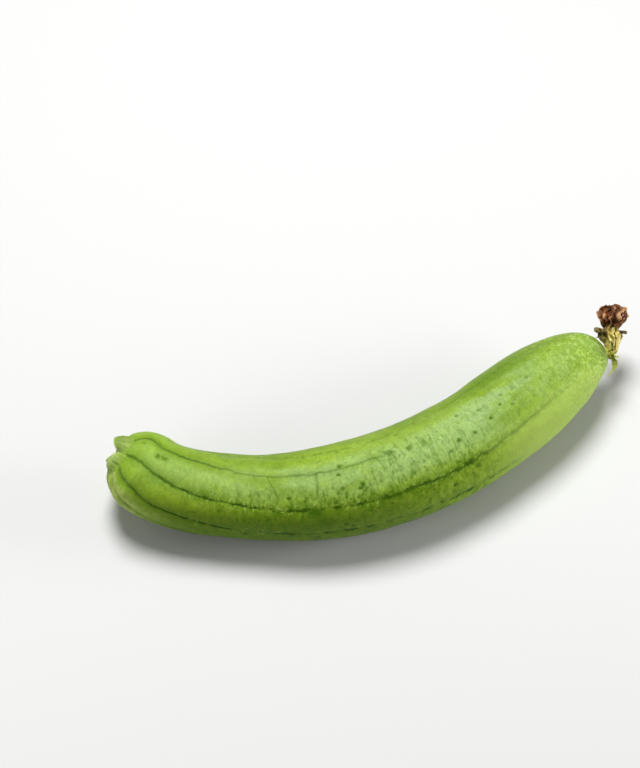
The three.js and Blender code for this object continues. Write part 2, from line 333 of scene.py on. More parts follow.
def fruit_skin(rib, share):
    """Places on the rind, and the same places with the fruit pulled straight, in millimetres.

    The radius is the plain radius, lowered towards each vein by the rib height, which dies away
    from the stalk. Square to that form, a narrow bell-shaped groove follows each vein, and bumpy
    fields of three sizes and puckers at the two ends are added. A bell-shaped dent presses one spot
    of the shoulder in along the centreline. Nothing goes below the table.
    """
    centre, along, side, top, length = curve_frame(FRUIT_PATH, share[:, 0])
    radius = fruit_radius(share, length)
    steepness = np.gradient(radius[:, 0]) / np.maximum(np.gradient(share[:, 0]) * length, 1e-9)
    outward = 1 / np.sqrt(1 + steepness**2)
    angle = vein_angle(rib, share)
    crown = np.abs(np.sin(np.pi * rib))
    stalk_end = np.exp(-share / 0.07)
    swollen = radius * (1 + (0.012 + 0.05 * np.exp(-share / 0.09)) * (crown - RIB_LEVEL))
    to_vein = np.abs(rib - np.round(rib)) * 2 * np.pi * radius / RIBS / MM
    waning = 1 - ease(0.84, 0.96, share)
    strength = 0.65 + 0.35 * np.sin(2 * np.pi * (4.3 * share + 0.37 * np.round(rib)))
    groove = (0.20 * strength * waning + 0.6 * stalk_end) * np.exp(-((to_vein / 0.75) ** 2))
    straight = np.stack([radius * np.cos(angle), radius * np.sin(angle), length * share + 0 * rib], -1) / MM
    relief = ripple(straight, (0.42, 70, 1), (0.15, 24, 2), (0.035, 6, 3))
    pucker = 0.20 * np.sin(26 * angle + ripple(straight, (3, 20, 4))) * ease(0.90, 0.985, share)
    crease = 0.16 * np.sin(31 * angle) * np.exp(-share / 0.025)
    full = np.minimum(radius / (12 * MM), 1)
    raised = MM * full * (relief - groove + pucker + crease)
    spoke = spokes(angle, side[:, None], top[:, None])
    upright = outward[:, None, None] * spoke - (steepness * outward)[:, None, None] * along[:, None]
    places = centre[:, None] + swollen[..., None] * spoke + raised[..., None] * upright
    off = np.linalg.norm(places - DENT_PLACE, axis=-1) / DENT_REACH
    places += (DENT_DEPTH * np.exp(-(off**2)))[..., None] * along[0]
    places[..., 2] = np.maximum(places[..., 2], 0)
    return places, straight


def crowded(count, pull):
    """Even shares from 0 to 1, drawn towards both ends by pull times a sine of one period."""
    even = np.linspace(0, 1, count)
    return even - pull * np.sin(2 * np.pi * even) / (2 * np.pi)


# The columns crowd towards the veins, and the rows towards the ends of the fruit.
rib_steps = crowded(COLUMNS_PER_RIB + 1, COLUMN_PULL)[:-1]
rib_line = np.append((np.arange(RIBS)[:, None] + rib_steps).ravel(), RIBS)
share_line = crowded(FRUIT_ROWS + 2, ROW_PULL)
rib_grid, share_grid = np.meshgrid(rib_line, share_line)
skin_places, straight_places = fruit_skin(rib_grid, share_grid)
fruit_chart = np.stack([rib_grid, share_grid], -1)[1:-1]
fruit_mesh = lay_mesh("fruit_skin", skin_places[1:-1, :-1], fruit_chart, ends=skin_places[[0, -1], 0])
straight_list = np.vstack([straight_places[1:-1, :-1].reshape(-1, 3), straight_places[[0, -1], 0]])
straightened = fruit_mesh.attributes.new("straight", "FLOAT_VECTOR", "POINT")
straightened.data.foreach_set("vector", straight_list.astype(np.float32).ravel())


def tint(code):
    """A colour from six hex digits, in the linear light that shaders use."""
    value = np.array([int(code[k:k + 2], 16) for k in (0, 2, 4)]) / 255
    linear = np.where(value <= 0.04045, value / 12.92, ((value + 0.055) / 1.055) ** 2.4)
    return (*linear, 1.0)


def reckon(operation, *terms):
    """A Math node, in the node tree of the first of its terms that is a socket."""
    tree = next(term.id_data for term in terms if isinstance(term, bpy.types.NodeSocket))
    return node(tree, "Math", dict(enumerate(terms)), operation=operation)


def added(*terms):
    """All the terms added together."""
    return reduce(partial(reckon, "ADD"), terms)


def times(*terms):
    """All the terms multiplied together."""
    return reduce(partial(reckon, "MULTIPLY"), terms)


def larger(*terms):
    """The largest of the terms."""
    return reduce(partial(reckon, "MAXIMUM"), terms)


def gap(value, middle):
    """How far a value is from a middle, on either side."""
    return reckon("ABSOLUTE", reckon("SUBTRACT", value, middle))


def rise(value, low, high, least=0.0, most=1.0):
    """Goes smoothly up from least to most as the value goes from low to high."""
    inputs = {"Value": value, "From Min": low, "From Max": high, "To Min": least, "To Max": most}
    return node(value.id_data, "MapRange", inputs, interpolation_type="SMOOTHSTEP")


def fall(value, low, high, most=1.0, least=0.0):
    """Goes smoothly down from most to least as the value goes from low to high."""
    return rise(value, low, high, least=most, most=least)


def bell(value, middle, reach):
    """1 where the value is at the middle, falling smoothly to 0 at the reach on both sides."""
    return fall(gap(value, middle), 0.0, reach)


def squeezed(place, factors):
    """A place multiplied by a factor, or by one along each axis, to squeeze a pattern on it."""
    factors = tuple(np.broadcast_to(factors, 3))
    return node(place.id_data, "VectorMath", {0: place, 1: factors}, operation="MULTIPLY")


def cloud(place, factors=1.0, detail=2.0, roughness=0.5, warp=0.0):
    """Soft noise from 0 to 1, its features about one unit wide before they are squeezed."""
    inputs = {"Scale": 1.0, "Detail": detail, "Roughness": roughness, "Distortion": warp}
    return node(place.id_data, "TexNoise", {"Vector": squeezed(place, factors), **inputs})


def painted(colour, *coats):
    """A colour and the coats laid over it in turn, each with its share from 0 to 1 and its colour.

    A colour is a socket or six hex digits.
    """
    for share, coat in coats:
        under, over = (tint(each) if isinstance(each, str) else each for each in (colour, coat))
        colour = node(share.id_data, "Mix", {0: share, 6: under, 7: over}, output=2, data_type="RGBA")
    return colour


def axes(place):
    """The three numbers of a place."""
    x = node(place.id_data, "SeparateXYZ", {0: place})
    return x, x.node.outputs[1], x.node.outputs[2]


def chart_axes(tree):
    """The two numbers of the piece's own chart."""
    return axes(node(tree, "UVMap", {}, uv_map="chart"))[:2]


def dressed(finish, colour, roughness, gloss, height=None, strength=0.0, depth=0.0):
    """Gives a finish its colour, roughness and gloss, and a bump from a height, its depth in mm."""
    shader = finish.node_tree.nodes["Principled BSDF"]
    feed(shader, {"Base Color": colour, "Roughness": roughness, "Specular IOR Level": gloss})
    if height:
        bump = {"Strength": strength, "Distance": depth * MM, "Height": height}
        feed(shader, {"Normal": node(finish.node_tree, "Bump", bump)})
    return finish


def vein_strength(place, rib, share, backward):
    """How strongly the vein lines show, from 0 to 1.

    They are strong at the stalk, then thin on top and patchy on the flanks, and they are gone at
    the blossom end, the near one last.
    """
    top_vein, near_vein = bell(rib, 2.0, 0.5), bell(rib, 3.0, 0.5)
    patchy = cloud(place, (0.24, 0.24, 0.16), detail=3)
    strength = larger(
        times(rise(patchy, 0.44, 0.55, least=0.15), fall(backward, 0.1, 0.5, least=0.35)),
        times(top_vein, 0.9),
        times(near_vein, rise(share, 0.4, 0.5, most=0.8)),
        fall(share, 0.04, 0.18),
        times(near_vein, fall(share, 0.12, 0.36, most=0.8)),
    )
    lasting = larger(times(near_vein, fall(share, 0.72, 0.94, most=0.8)), fall(share, 0.64, 0.88))
    fading = added(rise(share, 0.1, 0.22, most=0.5), rise(share, 0.46, 0.53, most=0.5))
    return times(strength, lasting, reckon("SUBTRACT", 1.0, times(fading, top_vein)))


def pits(place):
    """Flecks in some cells of two cell patterns: dark dashes, and many small pits."""
    kinds = []
    for scale, stretch, reach, chance, most in ((0.17, 0.7, 0.25, 0.45, 0.95), (0.3, 0.9, 0.3, 0.3, 0.6)):
        inputs = {"Vector": squeezed(place, (scale, scale, scale * stretch)), "Scale": 1.0}
        distance = node(place.id_data, "TexVoronoi", inputs, output="Distance")
        drawn = node(place.id_data, "SeparateColor", {0: distance.node.outputs["Color"]})
        spot = fall(distance, 0.3 * reach, reach, most=most)
        kinds.append(times(spot, rise(drawn, chance, chance + 0.1)))
    return larger(*kinds)


CRACK_MIDDLE = 1.85
CRACK_REACH = 0.0036
# Each crack has its share of the length, its slope, the ribs that it runs between, and its strength.
CRACKS = ((0.2834, 0.0326, 1.95, 2.75, 0.6), (0.3755, -0.003, 1.95, 2.7, 0.5))
# Each bruise has its share of the length and reach, its rib and reach across, and its strength.
BRUISES = (
    (0.021, 0.007, 2.33, 0.11, 0.55), (0.056, 0.016, 1.98, 0.22, 0.8), (0.07, 0.016, 2.43, 0.18, 0.9),
    (0.086, 0.016, 2.37, 0.18, 0.9), (0.366, 0.018, 3.16, 0.3, 0.95), (0.38, 0.03, 3.5, 0.4, 0.5),
    (0.412, 0.007, 2.18, 0.08, 0.9), (0.418, 0.009, 1.9, 0.13, 1.00), (0.504, 0.011, 1.97, 0.16, 1.00),
    (0.539, 0.008, 2.02, 0.1, 0.9), (0.447, 0.008, 2.56, 0.12, 0.8), (0.622, 0.008, 2.35, 0.09, 0.9),
    (0.637, 0.01, 3.24, 0.12, 0.9), (0.655, 0.007, 2.36, 0.08, 0.9), (0.685, 0.006, 1.87, 0.06, 0.6),
    (0.694, 0.007, 2.28, 0.08, 0.9), (0.724, 0.006, 2.13, 0.07, 0.7), (0.743, 0.006, 2.34, 0.07, 0.7),
    (0.766, 0.016, 3.02, 0.14, 0.7),
)


def marks_on_rind(rib, share, coarse):
    """Two fine cracks across one rib, and bruises by the stalk, on the near side and on top."""
    marks = []
    for at, slope, first, last, most in CRACKS:
        uneven = rise(coarse, 0.3, 0.7, least=-0.002, most=0.002)
        bent = added(times(reckon("SUBTRACT", rib, CRACK_MIDDLE), slope), uneven, at)
        crack = times(bell(share, bent, CRACK_REACH), most)
        marks.append(times(crack, rise(rib, first, first + 0.1), fall(rib, last - 0.2, last)))
    for at, reach, beside, across, most in BRUISES:
        uneven = rise(coarse, 0.38, 0.56, least=0.4 * most, most=1.6 * most)
        marks.append(times(bell(share, at, reach), bell(rib, beside, across), uneven))
    return larger(*marks)


def rind_finish():
    """Satin green rind: mottled greens, broken dark veins, wrinkled flanks, flecks, marks, bloom, and painted
    light and shade.

    Its patterns follow the fruit laid out straight, in millimetres: X points to the hollow side of
    the bend, Y up and Z along it. The chart gives the rib and the share of the length.
    """
    finish, tree = new_finish("rind")
    place = node(tree, "Attribute", {}, output="Vector", attribute_name="straight")
    rib, share = chart_axes(tree)
    behind, above, _ = axes(place)
    radius = reckon("SQRT", added(times(behind, behind), times(above, above)))
    girth = larger(radius, 0.5)
    upward, backward = reckon("DIVIDE", above, girth), reckon("DIVIDE", behind, girth)
    blossom = rise(share, 0.78, 0.95)

    # cloudy greens, and painted shade: a deeper green on the far flank, and on the near flank and the
    # underside
    broad = cloud(place, (0.045, 0.045, 0.018), detail=3, warp=0.6)
    middle = cloud(place, (0.13, 0.13, 0.08), detail=4, roughness=0.6, warp=0.4)
    coarse = cloud(place, (0.22, 0.22, 0.3), detail=4, roughness=0.65, warp=0.8)
    back = times(rise(backward, 0.35, 0.8, most=0.28), rise(share, 0.05, 0.16))
    near = larger(fall(backward, -0.98, -0.62, most=0.52), fall(upward, -0.6, 0.1, most=0.62))
    near = times(near, fall(share, 0.44, 0.64), rise(share, 0.02, 0.14))

    # waxy bloom with a painted highlight on the upper side, bloom on the ridge before the blossom end, and
    # one faint far vein
    hazy = cloud(place, (0.06, 0.06, 0.025), detail=5, roughness=0.65)
    bloom_and_highlight = times(
        rise(hazy, 0.36, 0.6, least=0.12, most=0.6), rise(upward, 0.6, 0.98),
        fall(backward, 0.0, 0.35, least=0.25), rise(share, 0.1, 0.5, least=0.5),
        added(times(blossom, -0.5), 1.0),
    )
    ridge = rise(cloud(place, (0.28, 0.28, 0.05), detail=3), 0.4, 0.6, least=0.05, most=0.75)
    ridge = times(bell(rib, 1.85, 0.8), bell(share, 0.73, 0.2), ridge)
    far_vein = times(bell(rib, 1.05, 0.5), bell(share, 0.77, 0.18), 0.6)

    # wrinkles across the length: dark and pale strokes on the flanks, over the top too past the middle
    net = cloud(place, (0.17, 0.17, 0.44), detail=3, roughness=0.65, warp=0.7)
    over_top = times(rise(share, 0.36, 0.52), fall(backward, 0.0, 0.3, most=0.8))
    flank = larger(fall(backward, -0.62, -0.2), rise(backward, 0.7, 0.9), over_top)
    flank = times(flank, rise(share, 0.1, 0.26, least=0.25), fall(share, 0.54, 0.74, least=0.35))
    darker = times(rise(net, 0.49, 0.57, most=0.85), flank, fall(coarse, 0.34, 0.6, least=0.4))
    paler = times(fall(net, 0.38, 0.47, most=0.35), flank, fall(near, 0.0, 0.3, least=0.2))
    green = painted(
        "819C24", (rise(broad, 0.38, 0.66), "6F8C1C"), (rise(middle, 0.44, 0.7, most=0.45), "8CA832"),
        (larger(back, near), "2C4C00"), (bloom_and_highlight, "97B276"), (ridge, "90AA70"), (far_vein, "4A6E08"),
        (darker, "4A7012"), (paler, "A0BC50"),
    )
    grain = cloud(place, (0.9, 0.9, 0.8), detail=4, roughness=0.7)
    light = added(
        rise(coarse, 0.28, 0.72, least=-0.1, most=0.1), rise(grain, 0.25, 0.75, least=0.86, most=1.14)
    )
    green = node(tree, "VectorMath", {0: green, "Scale": light}, operation="SCALE")

    # veins: a wandering dark core in a soft smudge, with pale chips of skin beside it
    strength = vein_strength(place, rib, share, backward)
    wobble = cloud(place, 0.16, detail=4)
    wandering = added(rib, rise(wobble, 0.2, 0.8, least=-0.04, most=0.04))
    off_vein = times(reckon("PINGPONG", wandering, 0.5), radius, 2 * np.pi / RIBS)
    blotch = times(fall(coarse, 0.44, 0.54), rise(share, 0.18, 0.38), strength)
    blotch = times(blotch, fall(backward, -0.5, -0.3, least=0.15))
    # the dark core of the fourth vein widens near the stalk: painted shade in its deep groove
    reach = added(
        times(blotch, 1.5), fall(share, 0.0, 0.3, most=1.2, least=0.9),
        times(bell(rib, 4.0, 0.5), fall(share, 0.02, 0.14, most=0.9)),
    )
    smudge = times(fall(off_vein, 0.5, 5.0, most=0.55), strength)
    chips = times(
        fall(off_vein, 1.0, 3.5), rise(coarse, 0.54, 0.66), rise(share, 0.08, 0.2, most=0.8),
        rise(bell(rib, 3.0, 0.6), 0.0, 0.5, least=0.3), reckon("SUBTRACT", 1.0, bell(rib, 2.0, 0.5)),
        fall(share, 0.4, 0.52, least=0.3),
    )
    core = times(fall(reckon("DIVIDE", off_vein, reach), 0.2, 1.0), strength, 0.9)

    # flecks and marks, and at the blossom end painted light on the low near side, curly strokes, and painted
    # shade from the flower
    fleck = times(pits(place), larger(flank, rise(share, 0.15, 0.5, most=0.5)))
    marks = marks_on_rind(rib, share, coarse)
    # painted light: a paler low near side at the blossom end
    painted_low_light = times(fall(backward, -0.95, -0.45, most=0.72), rise(share, 0.62, 0.77))
    curls = cloud(place, 0.3, detail=3, roughness=0.6, warp=1.4)
    # painted shade from the withered flower: dark olive beside it on the rind, and all round the tip
    flower_shade = times(rise(share, 0.962, 0.984), rise(bell(rib, 1.8, 1.8), 0.0, 0.7))
    flower_shade = times(larger(flower_shade, rise(share, 0.984, 0.997)), fall(coarse, 0.35, 0.65, least=0.6))

    # painted rim light: pale ribs low on the stalk end, and fainter ones beside the first vein
    painted_rim_light = larger(rise(rib, 4.1, 4.5), fall(rib, 0.8, 1.4, most=0.5))
    painted_rim_light = times(painted_rim_light, fall(share, 0.02, 0.15, most=0.8), rise(coarse, 0.4, 0.6, least=0.4))
    green = painted(
        green, (smudge, "4A6E08"), (chips, "A4C162"), (core, "2A4803"), (fleck, "355408"),
        (marks, "41620C"), (fall(share, 0.0, 0.16, most=0.3), "8CB038"), (painted_low_light, "A8C25C"),
        (times(fall(curls, 0.4, 0.5, most=0.45), blossom), "67891F"),
        (times(rise(curls, 0.54, 0.6, most=0.42), blossom), "B2C878"),
        (painted_rim_light, "A8B85E"), (flower_shade, "4E5E06"),
    )

    feed(tree.nodes["Principled BSDF"], {
        "Specular Tint": (0.8, 1.0, 0.45, 1.0), "Sheen Tint": (0.85, 1.0, 0.7, 1.0),
        "Sheen Weight": 0.05, "Sheen Roughness": 0.35,
    })
    height = added(grain, times(net, -0.9), times(fleck, -0.6), times(marks, -0.8))
    roughness = rise(middle, 0.3, 0.7, least=0.42, most=0.52)
    return dressed(finish, green, roughness, gloss=0.12, height=height, strength=0.5, depth=0.3)


finished_piece("fruit_rind", fruit_mesh, rind_finish(), ["fruit"])


# ---- Stalk stub ----
# The stalk was cut off a few millimetres from the fruit. Its wide woody foot grows out of the end
# of the fruit and narrows to an uneven rim, which two deep notches and a shallow one break. The cut
# face is a moist green pith, ringed by a dark line and by the pale torn skin.

STUB_AXIS = unit(np.array([-0.83, 0.53, 0.17]))
STUB_FOOT = 12.4
STUB_RIM = 7.6
STUB_TOP = 4.7
STUB_SHIFT = 0.9
SHIFT_ANGLE = 33
STUB_NOTCHES = ((104, 5.9, 18, 42), (238, 2.0, 20, 25), (314, 3.6, 36, 24))
STUB_SINK = 2.0
STUB_GRID = (130, 220)
FRUIT_LENGTH = 319.0
SKIN_ROWS = 80
FOOT_SHARE = 0.006


def through(knots, at):
    """Values on smooth curves through the knots, at shares from 0 to 1 of their count.

    Uniform Catmull-Rom splines run down the first axis of the knots, one for each other entry.
    """
    ends = np.concatenate([2 * knots[:1] - knots[1:2], knots, 2 * knots[-1:] - knots[-2:-1]])
    steps = at * (len(knots) - 1)
    start = np.minimum(steps.astype(int), len(knots) - 2)
    w = (steps - start).reshape(-1, *[1] * (knots.ndim - 1))
    p0, p1, p2, p3 = (ends[start + k] for k in range(4))
    return p1 + 0.5 * w * (p2 - p0 + w * (2 * p0 - 5 * p1 + 4 * p2 - p3 + w * (3 * (p1 - p2) + p3 - p0)))


def skin_spot(turn, reach):
    """Places on the fruit's skin near the stalk, by angle round its end and distance from its middle."""
    spread = fruit_radius(share_line[:SKIN_ROWS, None], FRUIT_LENGTH * MM)[:, 0]
    around = vein_angle(rib_line[None], np.full((1, 1), FOOT_SHARE))[0]
    row = np.interp(reach * MM, spread, np.arange(SKIN_ROWS))
    column = np.interp(around[0] + (turn - around[0]) % (2 * np.pi), around, np.arange(len(around)))
    r, c = row.astype(int), np.minimum(column.astype(int), len(around) - 2)
    u, v = (row - r)[..., None], (column - c)[..., None]
    near = skin_places[r, c] * (1 - v) + skin_places[r, c + 1] * v
    return near * (1 - u) + (skin_places[r + 1, c] * (1 - v) + skin_places[r + 1, c + 1] * v) * u


def stub_side(turn, step):
    """Places on the stub, turn going round it and step up from its foot to the middle of the cut.

    Smooth curves run through rings of knots. The first rings rise gently out of the fruit's skin,
    the next climb to the rim and over it, and the last go down to the cut face. The rim's height
    and width fall at the notches, which are pointed bell shapes of the angle. Ridges run up the
    side, and the cut face is bumpy, with one low ring.
    """
    centre, along, side, top, _ = curve_frame(FRUIT_PATH, [0.0])
    round_line = turn[0]
    spoke = spokes(round_line, side[0], top[0])
    level = unit(spoke - (spoke @ STUB_AXIS)[:, None] * STUB_AXIS)
    drop = np.zeros(len(spoke))
    for angle, depth, before, after in STUB_NOTCHES:
        off = (np.degrees(round_line) - angle + 180) % 360 - 180
        drop += depth * np.exp(-((np.abs(off) / np.where(off < 0, before, after)) ** 1.2))
    shift = STUB_SHIFT * np.cos(round_line - np.radians(SHIFT_ANGLE))
    foot = STUB_FOOT + shift - 0.3 * drop + 0.35 * np.sin(10 * round_line)
    rim = STUB_RIM + shift - 0.45 * drop
    peak = STUB_TOP - drop
    face = -1.2 + 0.55 * (peak + 0.8)

    def skin(beyond, lift):
        """A ring on the fruit's skin beyond the foot, lifted off it."""
        spot = skin_spot(round_line, foot + beyond)
        return spot + lift * MM * unit(spot - centre[0] - 12 * MM * along[0])

    def own(reach, height):
        """A ring square to the stub's axis, at a reach and a height."""
        height = np.broadcast_to(height, reach.shape)[:, None]
        return centre[0] + MM * (reach[:, None] * level + height * STUB_AXIS)

    start, brim = skin(0.0, 0.1), own(rim, peak)
    knots = np.stack([
        skin(2.4, -0.6), skin(1.1, -0.10), start, skin(-1.3, 0.45),
        start + 0.45 * (brim - start) + 0.5 * MM * STUB_AXIS,
        start + 0.72 * (brim - start) + 0.3 * MM * STUB_AXIS,
        own(rim + 0.15, peak - 0.8), own(rim - 0.1, peak - 0.1), own(rim - 0.5, peak + 0.05),
        own(rim - 1.0, peak - 0.35), own(rim - 1.4, 0.4 * peak + 0.6 * face), own(rim - 2.0, face),
        own(0.5 * rim, 0.4 * face + 0.4), own(0.25 * rim, 0.1 * face + 0.6), own(0.01 * rim, 0.6),
    ])
    places = through(knots, step[:, 0])
    flat = (places - centre[0]) / MM
    bark = ease(0.14, 0.26, step) - ease(0.5, 0.56, step)
    ridges = 0.08 * np.sin(34 * turn + ripple(flat, (2.5, 9, 11))) * bark
    bumps = ripple(flat, (0.10, 3.0, 12), (0.04, 1.1, 13)) * ease(0.08, 0.16, step)
    on_face = ease(0.60, 0.68, step)
    rings = 0.2 * np.exp(-(((step - 0.86) / 0.025) ** 2))
    outward = (ridges + bumps * (1 - on_face))[..., None] * level
    return places + MM * (outward + (bumps * on_face + rings)[..., None] * STUB_AXIS)


def turned_mesh(name, side, grid, turns=(0, 2 * np.pi), sink=0.0):
    """A closed mesh of the places that a side function gives, its first end moved by the sink."""
    turn, step = np.meshgrid(np.linspace(*turns, grid[1] + 1), np.linspace(0, 1, grid[0]))
    places = side(turn, step)[:, :-1]
    ends = places[[0, -1]].mean(1)
    ends[0] += sink
    return lay_mesh(name, places, np.stack([turn / (2 * np.pi), step], -1), ends=ends)


# The stub points against the centreline's direction, so its columns run backwards to face outwards.
stub_mesh = turned_mesh("stub_side", stub_side, STUB_GRID, (2 * np.pi, 0), -STUB_SINK * MM * STUB_AXIS)


def stub_finish():
    """Pale woody green up the side, fibres, painted shade on the upper lobe and in the crease at the foot,
    and rings on the cut face.
    """
    finish, tree = new_finish("cut_stalk")
    place = own_place(tree)
    turn, step = chart_axes(tree)
    angle = times(turn, 2 * np.pi)
    sine, cosine = times(reckon("SINE", angle), 9.0), times(reckon("COSINE", angle), 9.0)
    round_place = node(tree, "CombineXYZ", {"X": sine, "Y": cosine, "Z": times(step, 3.0)})
    fibres = cloud(round_place, detail=3, roughness=0.6)
    blotch = cloud(place, 300, detail=3)
    fine = cloud(place, 1400, detail=3)
    pale = times(bell(turn, 0.48, 0.22), rise(step, 0.22, 0.42, most=0.6))
    # painted shade: a darker patch on the upper lobe, and a dark line in the crease at the foot
    bark = painted(
        "6F8A2E", (rise(fibres, 0.35, 0.65), "8EA648"), (rise(blotch, 0.5, 0.7, most=0.5), "9AAE5A"),
        (larger(pale, rise(step, 0.42, 0.52, most=0.95)), "BCD082"),
        (times(bell(turn, 0.12, 0.2), fall(step, 0.36, 0.46, most=0.8)), "667E2A"),
        (fall(step, 0.12, 0.32), "7E9C26"), (fall(gap(step, 0.115), 0.01, 0.035, most=0.5), "5F7F1C"),
    )
    pith = painted("7FA63A", (rise(fine, 0.4, 0.62), "A3C35A"), (rise(step, 0.9, 1.0, most=0.6), "8FB347"))
    dark, light = (fall(gap(step, at), 0.3 * width, width) for at, width in ((0.72, 0.025), (0.86, 0.03)))
    rings = (times(dark, 0.75), "5D7A26"), (times(light, 0.6), "6E8F33")
    colour = painted(bark, (rise(step, 0.66, 0.72), pith), *rings)
    height = added(times(fibres, 1.2), fine)
    return dressed(finish, colour, 0.55, gloss=0.35, height=height, strength=0.6, depth=0.3)


finished_piece("cut_stalk", stub_mesh, stub_finish(), ["stalk_stub"])


# ---- Calyx cup ----
# The fleshy green-yellow cup that held the flower. It grows out of the blossom end of the fruit,
# has a thick pleated rim, and is hollow where the corolla comes out.

CUP_GRID = (70, 150)
CUP_PROFILE = (
    (4.6, -2.6), (3.9, -0.9), (3.5, -0.3), (3.1, 0.4), (3.2, 1.0), (3.8, 1.6), (4.3, 2.0), (4.2, 2.4),
    (3.8, 2.4), (3.2, 2.0), (2.7, 1.5), (1.6, 1.2), (0.1, 1.1),
)


def cup_side(turn, step):
    """Places on the cup: turn is the angle round it, and step goes from its foot to its hollow.

    A turned profile with ten pleats that deepen towards the rim, the rim itself in five waves.
    """
    centre, along, side, top, _ = curve_frame(FRUIT_PATH, [1.0])
    spots = curve_frame(np.insert(np.array(CUP_PROFILE), 2, 0.0, 1), step[:, 0])[0]
    flare = ease(0.15, 0.55, step)
    flat = np.stack([4 * np.cos(turn), 4 * np.sin(turn), 12 * step], -1)
    reach = spots[:, :1] * (1 + 0.07 * flare * np.cos(10 * turn) + flare * ripple(flat, (0.05, 7, 21)))
    height = spots[:, 1:2] + 0.45 * flare * np.cos(5 * turn + 0.6) * (1 - ease(0.75, 0.95, step))
    reach = reach + ripple(flat, (0.06, 1.5, 22))
    return centre[0] + MM * (reach[..., None] * spokes(turn, side[0], top[0]) + height[..., None] * along[0])


def calyx_finish(name, deep, light, dry):
    """Cloudy between a deep and a light tint, with a fine grain that dries to a third in patches."""
    finish, tree = new_finish(name)
    place = own_place(tree)
    fine = cloud(place, 1700, detail=3, roughness=0.6)
    blotch = rise(cloud(place, 420, detail=3), 0.35, 0.62)
    colour = painted(deep, (blotch, light), (rise(fine, 0.56, 0.72, most=0.7), dry))
    return dressed(finish, colour, 0.62, gloss=0.3, height=fine, strength=0.6, depth=0.25)


cup_mesh = turned_mesh("cup_side", cup_side, CUP_GRID)
cup_skin = calyx_finish("calyx", "8C9426", "BDB84A", "D9CF86")
finished_piece("flower_cup", cup_mesh, cup_skin, ["calyx_cup"])


# ---- Sepals ----
# Five narrow leafy blades, folded along the middle, that grow from the cup's rim and dry yellow at
# the edges. They bend back and trail over the end of the fruit, each with its own droop and twist.

SEPAL_THICKNESS = 0.5
SEPAL_HALF_WIDTH = 1.9
# Each sepal has an angle round the cup, a size, a droop, a bend sideways and a turn.
SEPALS = (
    (18, 0.95, 4.0, 0.5, 0.2), (75, 0.85, 1.5, -2.2, -0.3), (152, 1.15, 3.0, 1.8, -0.9),
    (190, 1.25, 7.0, -0.6, 1.2), (285, 1.2, 3.0, 2.6, 0.9),
)
SEPAL_GRID = (60, 15)


def shell(middle, thickness):
    """A grid of places all round a thin sheet: over its front, and back along its reverse.

    Each place is half the thickness off the middle sheet, square to it. The thickness closes to a
    fine edge at both sides by a square root.
    """
    down, across = np.gradient(middle, axis=0), np.gradient(middle, axis=1)
    square = unit(np.cross(across, down))
    edge = np.linspace(-1, 1, middle.shape[1])[:, None]
    half = thickness / 2 * (0.25 + 0.75 * np.sqrt(1 - edge**2))
    return np.hstack([middle + half * square, (middle - half * square)[:, ::-1]])


def sheet_grids(rows, columns):
    """How far across, -1 to 1, and down, 0 to 1, each place of a sheet is, and its shell's chart.

    The chart runs from 0 to 1 both ways, the same on both faces.
    """
    down = np.linspace(0, 1, rows)
    across, down_grid = np.meshgrid(np.linspace(-1, 1, columns), down)
    both = np.concatenate([across[0], across[0, ::-1], [-1]]) / 2 + 0.5
    return across, down_grid, np.stack(np.meshgrid(both, down), -1)


def sepal_middle(which, across, down):
    """Places on the middle sheet of a sepal: across runs -1 to 1, and down from root to tip.

    Its midline leaves the cup's rim, arches out and droops by a power of the distance. The width
    is a lance, the fold a shallow V, and the blade twists and curls towards its tip.
    """
    centre, along, side, top, _ = curve_frame(FRUIT_PATH, [1.0])
    angle, size, droop, bend, turn = SEPALS[which]
    outward = spokes(np.radians(angle), side[0], top[0])
    sideways = np.cross(outward, along[0])
    reach = 3.3 + size * (9.5 * down - 1.2 * down**3)
    height = 1.7 + 2.2 * np.sin(2.6 * down**0.8) - droop * down**2.2
    bend = bend * down**2 + 0.4 * np.sin(7 * down + which)
    width = SEPAL_HALF_WIDTH * size * (0.72 + 0.7 * down) * (1 - down) ** 0.75 + 0.10
    twist = turn * ease(0.0, 0.4, down) + 0.5 * np.sin(2.1 * down + 1.7 * which) * down
    fold = 0.45 * np.abs(across) * width
    flat = np.stack([across * width, 10 * down, 9.0 * which + 0 * down], -1)
    waves = ripple(flat, (0.16, 2.2, 31)) + np.abs(across) * ripple(flat, (0.22, 1.3, 32))
    spread = across * width * np.cos(twist) - fold * np.sin(twist)
    lift = across * width * np.sin(twist) + fold * np.cos(twist) + waves
    places = reach[..., None] * outward + (bend + spread)[..., None] * sideways
    return centre[0] + MM * (places + (height + lift)[..., None] * along[0])


def nerve_lines(tree, lengthwise, **settings):
    """Soft noise drawn out along a blade, and how far across and down the blade each spot is."""
    across, down = chart_axes(tree)
    place = node(tree, "CombineXYZ", {"X": times(across, 9.0), "Y": times(down, lengthwise)})
    return cloud(place, **settings), across, down


def sepal_finish():
    """Leafy yellow-green with lengthwise nerves, drying to straw at the edges and the tip."""
    finish, tree = new_finish("sepal")
    nerves, across, down = nerve_lines(tree, 2.0)
    blotch = cloud(own_place(tree), 500, detail=3)
    dry = larger(rise(gap(across, 0.5), 0.3, 0.5), rise(down, 0.72, 0.98))
    colour = painted(
        "7C8C24", (rise(nerves, 0.4, 0.6), "9AA63A"), (rise(blotch, 0.5, 0.68, most=0.7), "5E7420"),
        (times(dry, rise(blotch, 0.35, 0.6, least=0.35)), "C9BE6E"),
    )
    return dressed(finish, colour, 0.65, gloss=0.3, height=nerves, strength=0.5, depth=0.2)


